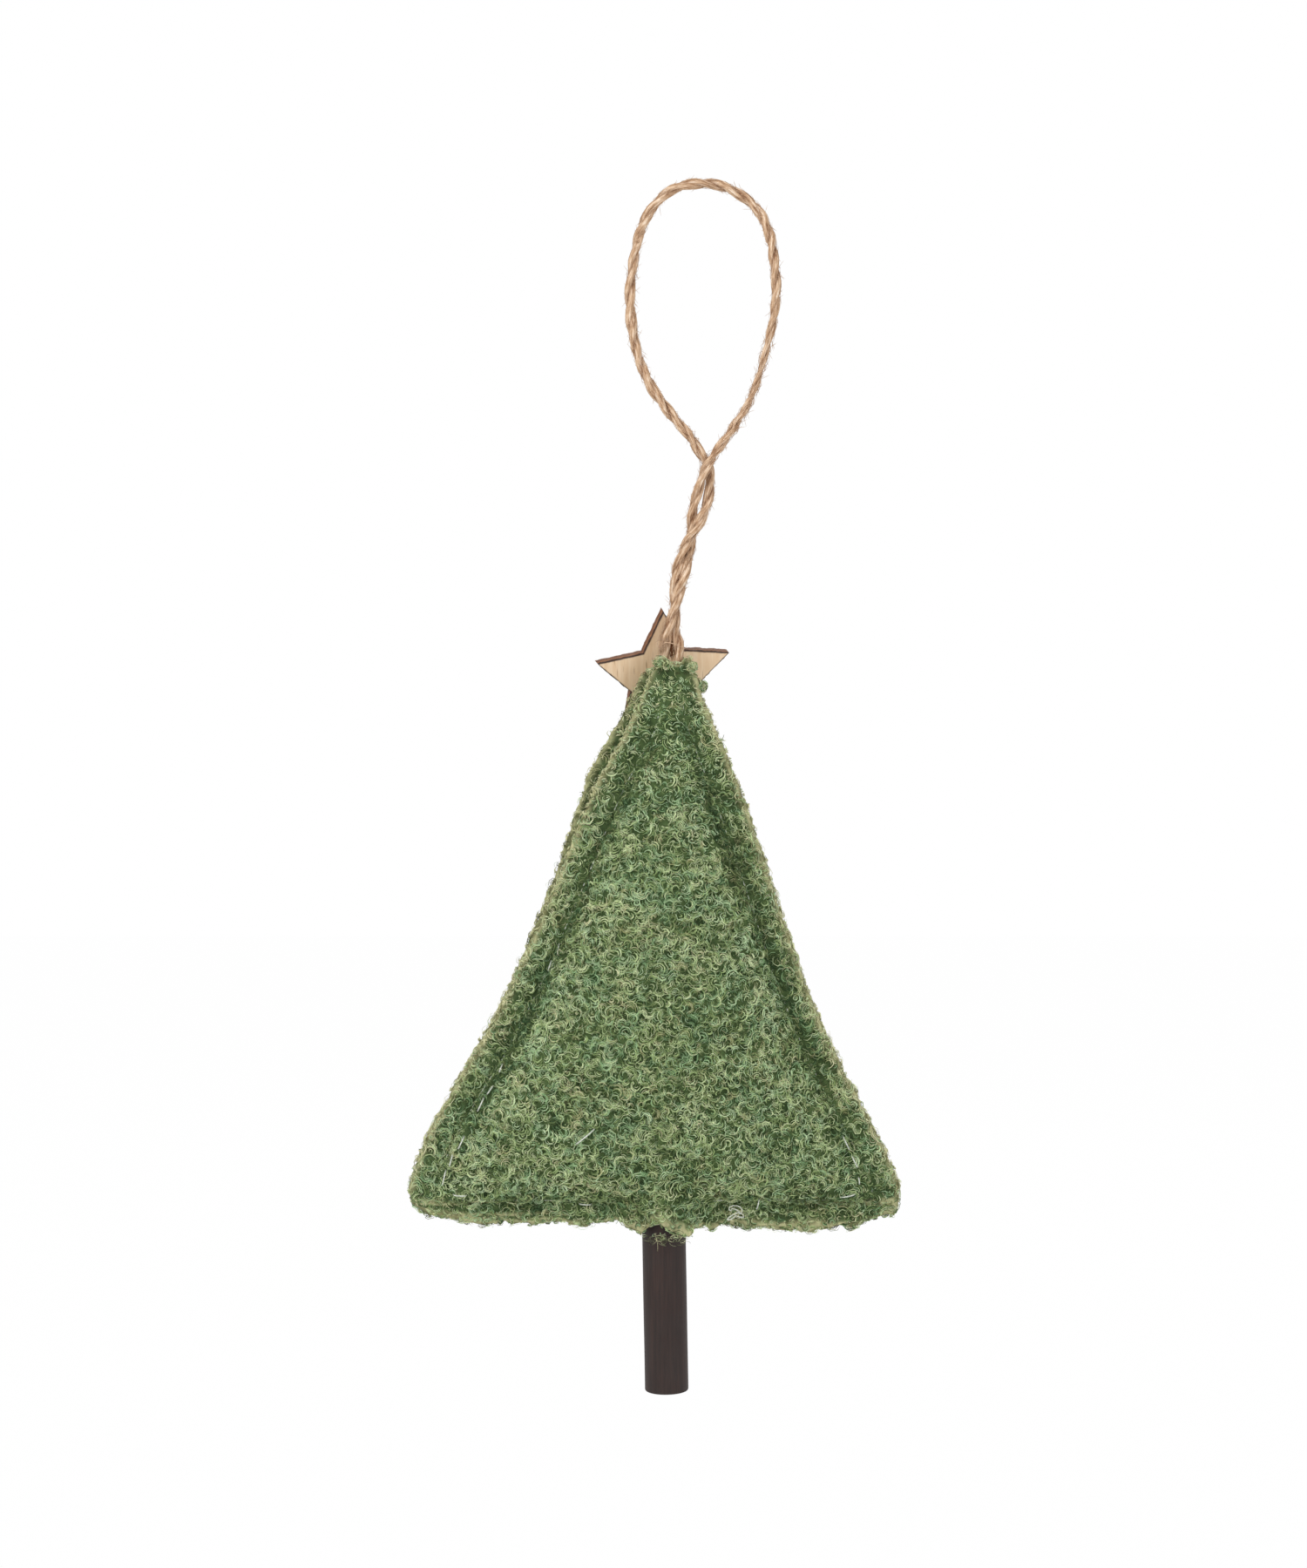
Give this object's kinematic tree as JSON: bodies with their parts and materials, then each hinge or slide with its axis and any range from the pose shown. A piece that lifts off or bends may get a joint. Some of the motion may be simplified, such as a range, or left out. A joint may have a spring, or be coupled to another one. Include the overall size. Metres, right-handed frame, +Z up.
{
  "type": "christmas ornament",
  "caption": "Hanging Christmas tree ornament: stuffed looped-wool tree with a dark dowel trunk, a plywood star and a twisted twine loop.",
  "frame": {"origin": "the inside of the top of the twine loop, where a hook or branch holds the ornament", "axes": "+Z up along the hanging ornament, +X to the right and +Y away from a viewer who faces its plain back, so the star side faces +Y"},
  "size_m": [0.113, 0.0304, 0.2783],
  "materials": {
    "wool_cloth": "looped wool, matt, mixed light and dark green fibres",
    "fibrefill": "loose fibre",
    "dark_wood": "dark stained, matt",
    "plywood": "bare, with charred cut edges",
    "glue": "set hot glue",
    "jute_twine": "natural two-ply jute, hairy"
  },
  "bodies": {
    "loop": {"hanging_loop": "jute_twine"},
    "neck": {"neck_strand_a": "jute_twine", "neck_strand_b": "jute_twine"},
    "tree": {"back_panel": "wool_cloth", "front_panel": "wool_cloth", "stuffing": "fibrefill", "trunk": "dark_wood", "star": "plywood", "star_glue": "glue", "sewn_tail_a": "jute_twine", "sewn_tail_b": "jute_twine"}
  },
  "joints": [
    {"name": "tree_swing", "type": "hinge", "parent": "loop", "child": "neck", "pos_m": [0, 0, -0.0597], "axis": [1, 0, 0], "range_deg": [-90, 90]},
    {"name": "tree_turn", "type": "hinge", "parent": "neck", "child": "tree", "pos_m": [-0.0081, 0, -0.10605], "axis": [0, 0, 1], "range_deg": [-180, 180], "stiffness_Nm_per_rad": 0.0003}
  ]
}
